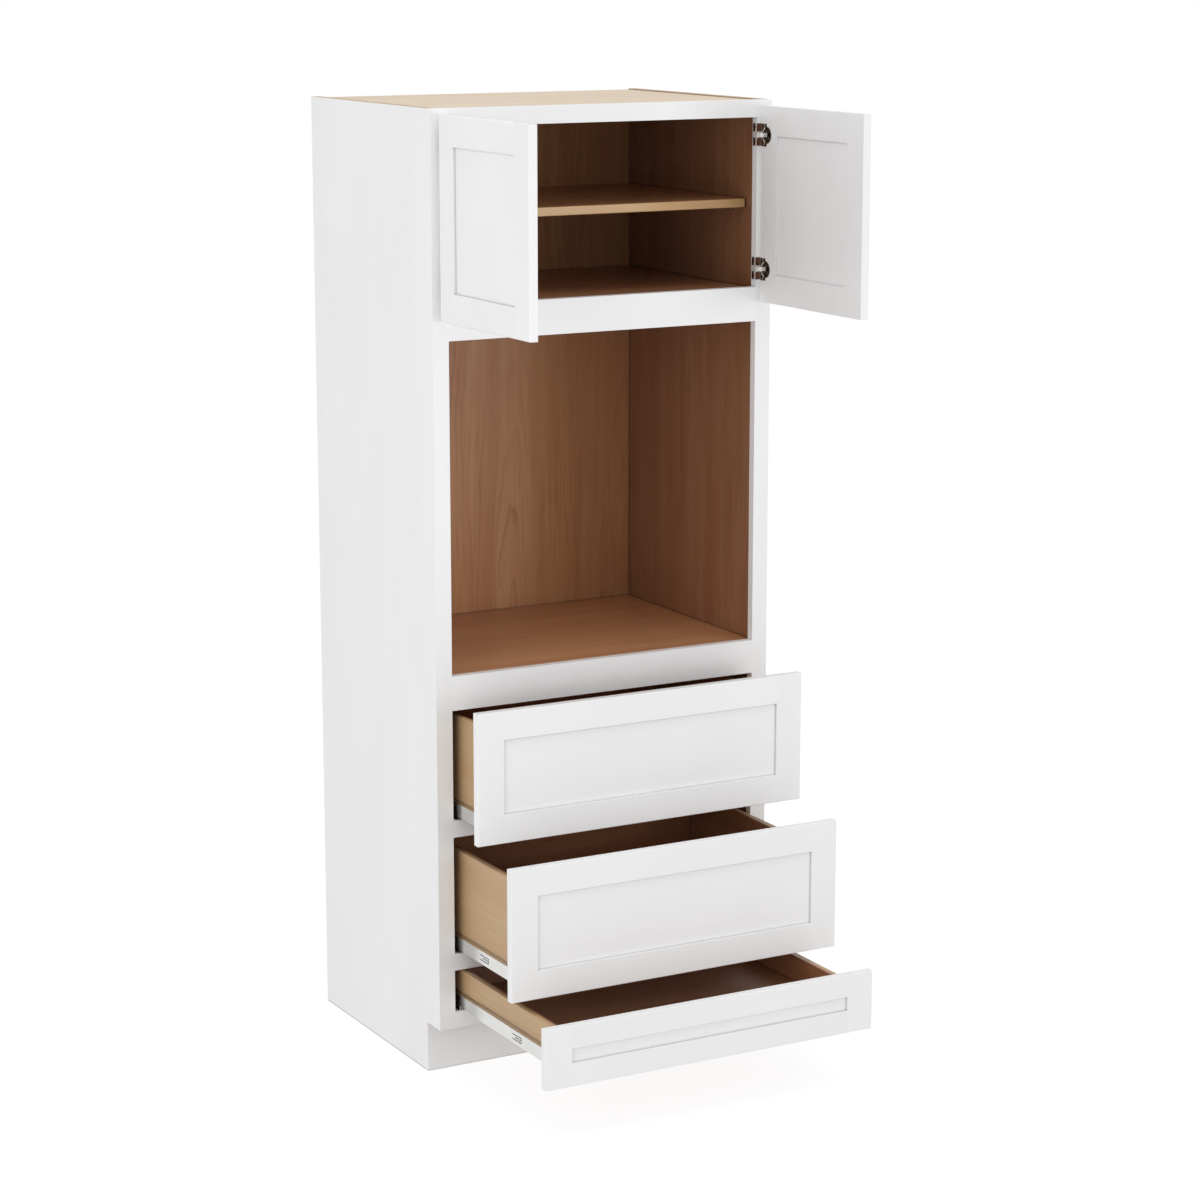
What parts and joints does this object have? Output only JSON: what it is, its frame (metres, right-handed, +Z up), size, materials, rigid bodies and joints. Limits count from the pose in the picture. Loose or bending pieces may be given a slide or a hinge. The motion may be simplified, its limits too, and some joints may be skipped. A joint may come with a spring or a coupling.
{
  "type": "double oven cabinet",
  "caption": "Tall face-frame kitchen cabinet with an open oven bay, a pair of framed doors above it and framed drawers on telescopic slides below it",
  "frame": {"origin": "On the floor, at the middle of the width, in the plane of the back face that stands against the wall", "axes": "+Z up; +Y into the wall, so the front faces -Y; +X to the right as seen from the front"},
  "size_m": [0.8382, 1.0891, 2.1336],
  "materials": {
    "satin_white_paint": "satin white paint on hardwood and board",
    "painted_side_ply": "plywood, satin white paint outside and clear-coated maple veneer inside",
    "maple_ply": "clear-coated maple veneer plywood",
    "raw_top_ply": "pale unfinished plywood",
    "drawer_maple": "clear-coated solid maple",
    "slide_steel": "zinc-plated folded sheet steel",
    "hinge_nickel": "bright nickel plate",
    "pin_steel": "nickel-plated steel",
    "bracket_plastic": "white moulded plastic"
  },
  "bodies": {
    "carcass": {"frame_stile_left": "satin_white_paint", "frame_stile_right": "satin_white_paint", "frame_bottom_rail": "satin_white_paint", "frame_drawer_rails": "satin_white_paint", "frame_oven_lower_rail": "satin_white_paint", "frame_oven_upper_rail": "satin_white_paint", "frame_top_rail": "satin_white_paint", "toe_kick_board": "satin_white_paint", "back_panel": "maple_ply", "bottom_deck": "maple_ply", "oven_deck": "maple_ply", "upper_deck": "maple_ply", "oven_deck_cleats": "maple_ply", "adjustable_shelf": "maple_ply", "side_panel_left": "painted_side_ply", "side_panel_right": "painted_side_ply", "top_panel": "raw_top_ply", "shelf_pins": "pin_steel", "slide_rear_brackets": "bracket_plastic", "left_hinge_bases": "hinge_nickel", "right_hinge_bases": "hinge_nickel", "lower_fixed_rails": "slide_steel", "middle_fixed_rails": "slide_steel", "upper_fixed_rails": "slide_steel"},
    "left_door": {"left_door_stiles": "satin_white_paint", "left_door_rails": "satin_white_paint", "left_door_panel": "satin_white_paint", "left_hinge_cups": "hinge_nickel"},
    "left_links": {"left_hinge_links": "hinge_nickel"},
    "right_door": {"right_door_stiles": "satin_white_paint", "right_door_rails": "satin_white_paint", "right_door_panel": "satin_white_paint", "right_hinge_cups": "hinge_nickel"},
    "right_links": {"right_hinge_links": "hinge_nickel"},
    "lower_drawer": {"lower_front_stiles": "satin_white_paint", "lower_front_rails": "satin_white_paint", "lower_front_panel": "satin_white_paint", "lower_box_sides": "drawer_maple", "lower_box_ends": "drawer_maple", "lower_box_bottom": "drawer_maple", "lower_drawer_rails": "slide_steel"},
    "lower_slide_middles": {"lower_middle_rails": "slide_steel"},
    "middle_drawer": {"middle_front_stiles": "satin_white_paint", "middle_front_rails": "satin_white_paint", "middle_front_panel": "satin_white_paint", "middle_box_sides": "drawer_maple", "middle_box_ends": "drawer_maple", "middle_box_bottom": "drawer_maple", "middle_drawer_rails": "slide_steel"},
    "middle_slide_middles": {"middle_middle_rails": "slide_steel"},
    "upper_drawer": {"upper_front_stiles": "satin_white_paint", "upper_front_rails": "satin_white_paint", "upper_front_panel": "satin_white_paint", "upper_box_sides": "drawer_maple", "upper_box_ends": "drawer_maple", "upper_box_bottom": "drawer_maple", "upper_drawer_rails": "slide_steel"},
    "upper_slide_middles": {"upper_middle_rails": "slide_steel"}
  },
  "joints": [
    {"name": "left_door_swing", "type": "hinge", "parent": "carcass", "child": "left_door", "pos_m": [-0.4008, -0.62965, 1.905], "axis": [0, 0, -1], "range_deg": [-90, 15]},
    {"name": "left_link_swing", "type": "hinge", "parent": "carcass", "child": "left_links", "pos_m": [-0.37702, -0.62192, 1.905], "axis": [0, 0, 1], "range_deg": [-44, 8]},
    {"name": "right_door_swing", "type": "hinge", "parent": "carcass", "child": "right_door", "pos_m": [0.4008, -0.62965, 1.905], "axis": [0, 0, 1], "range_deg": [-90, 15]},
    {"name": "right_link_swing", "type": "hinge", "parent": "carcass", "child": "right_links", "pos_m": [0.37702, -0.62192, 1.905], "axis": [0, 0, -1], "range_deg": [-44, 8]},
    {"name": "upper_drawer_slide", "type": "slide", "parent": "carcass", "child": "upper_drawer", "axis": [0, -1, 0], "range_m": [-0.1504, 0.381]},
    {"name": "upper_slide_middle_run", "type": "slide", "parent": "carcass", "child": "upper_slide_middles", "axis": [0, -1, 0], "range_m": [-0.0762, 0.1915]},
    {"name": "middle_drawer_slide", "type": "slide", "parent": "carcass", "child": "middle_drawer", "axis": [0, -1, 0], "range_m": [-0.3028, 0.2286]},
    {"name": "middle_slide_middle_run", "type": "slide", "parent": "carcass", "child": "middle_slide_middles", "axis": [0, -1, 0], "range_m": [-0.1524, 0.1153]},
    {"name": "lower_drawer_slide", "type": "slide", "parent": "carcass", "child": "lower_drawer", "axis": [0, -1, 0], "range_m": [-0.4552, 0.0762]},
    {"name": "lower_slide_middle_run", "type": "slide", "parent": "carcass", "child": "lower_slide_middles", "axis": [0, -1, 0], "range_m": [-0.2286, 0.0391]}
  ],
  "couplings": [
    {"joint": "left_link_swing", "follows": "left_door_swing", "ratio": 0.4783},
    {"joint": "right_link_swing", "follows": "right_door_swing", "ratio": 0.4783},
    {"joint": "upper_slide_middle_run", "follows": "upper_drawer_slide", "ratio": 0.5},
    {"joint": "middle_slide_middle_run", "follows": "middle_drawer_slide", "ratio": 0.5},
    {"joint": "lower_slide_middle_run", "follows": "lower_drawer_slide", "ratio": 0.5}
  ]
}
